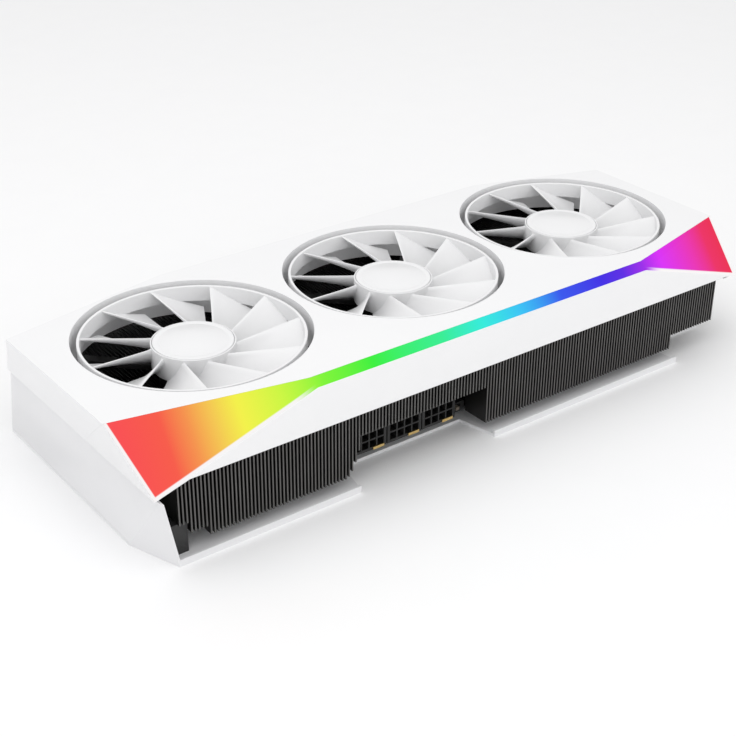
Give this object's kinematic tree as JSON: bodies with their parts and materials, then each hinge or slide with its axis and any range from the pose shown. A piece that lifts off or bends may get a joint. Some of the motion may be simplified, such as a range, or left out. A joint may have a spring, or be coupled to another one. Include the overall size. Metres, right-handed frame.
{
  "type": "graphics card",
  "caption": "Faceted white graphics card with spinning fans, a dark fin stack, a lit front edge, a closed-end backplate, power and display sockets and a steel bracket.",
  "frame": {"origin": "on the backplate's outer face, under the middle fan's axis", "axes": "+X along the card towards the I/O bracket, +Y towards the slot connector, +Z from the backplate up through the fans"},
  "size_m": [0.3553, 0.162, 0.062],
  "materials": {
    "white_housing": "satin white moulded plastic",
    "light_diffuser": "milky diffuser lit from behind in rainbow colours",
    "white_fan": "satin white moulded plastic",
    "bright_steel": "nickel-plated sheet steel",
    "dark_plastic": "black moulded plastic",
    "copper": "bare copper, nickel-free",
    "bronze": "sintered bronze",
    "fin_metal": "dark anodised sheet aluminium",
    "cast_metal": "black cast aluminium",
    "board": "black solder mask on glass fibre",
    "gold": "gold plate",
    "silicon": "polished silicon",
    "chip": "black moulded chip package",
    "thermal_pad": "soft grey thermal pad",
    "can": "aluminium can",
    "port_metal": "nickel-plated steel shell",
    "dark_screw": "black zinc screw",
    "switch_white": "white moulded plastic"
  },
  "bodies": {
    "card": {"shroud": "white_housing", "light_bar": "light_diffuser", "led_strip": "board", "fins_tail": "fin_metal", "fins_middle": "fin_metal", "fins_bracket": "fin_metal", "heat_pipes": "copper", "tail_support": "cast_metal", "cold_plate": "copper", "base_plate": "cast_metal", "circuit_board": "board", "edge_contacts": "gold", "gpu_package": "board", "gpu_die": "silicon", "memory_chips": "chip", "memory_pads": "thermal_pad", "power_stages": "chip", "power_stage_pads": "thermal_pad", "chokes": "chip", "capacitors": "can", "power_connector_1": "dark_plastic", "power_connector_2": "dark_plastic", "power_connector_3": "dark_plastic", "power_pins": "gold", "displayport_1": "port_metal", "displayport_2": "port_metal", "displayport_3": "port_metal", "hdmi_port": "port_metal", "io_bracket": "bright_steel", "bracket_screws": "bright_steel", "backplate": "white_housing", "spring_screws": "dark_screw", "bios_switch_case": "dark_plastic", "fan_frame_1": "dark_plastic", "fan_stator_1": "copper", "fan_bearing_1": "bronze", "fan_frame_2": "dark_plastic", "fan_stator_2": "copper", "fan_bearing_2": "bronze", "fan_frame_3": "dark_plastic", "fan_stator_3": "copper", "fan_bearing_3": "bronze"},
    "fan_1": {"fan_rotor_1": "white_fan", "fan_cap_1": "white_fan", "fan_shaft_1": "bright_steel"},
    "fan_2": {"fan_rotor_2": "white_fan", "fan_cap_2": "white_fan", "fan_shaft_2": "bright_steel"},
    "fan_3": {"fan_rotor_3": "white_fan", "fan_cap_3": "white_fan", "fan_shaft_3": "bright_steel"},
    "bios_slider": {"bios_switch_slider": "switch_white"}
  },
  "joints": [
    {"name": "fan_1_spin", "type": "hinge", "parent": "card", "child": "fan_1", "pos_m": [-0.1076, 0, 0.05], "axis": [0, 0, 1], "continuous": true},
    {"name": "fan_2_spin", "type": "hinge", "parent": "card", "child": "fan_2", "pos_m": [0, 0, 0.05], "axis": [0, 0, 1], "continuous": true},
    {"name": "fan_3_spin", "type": "hinge", "parent": "card", "child": "fan_3", "pos_m": [0.1076, 0, 0.05], "axis": [0, 0, 1], "continuous": true},
    {"name": "bios_slide", "type": "slide", "parent": "card", "child": "bios_slider", "axis": [1, 0, 0], "range_m": [0, 0.002]}
  ]
}
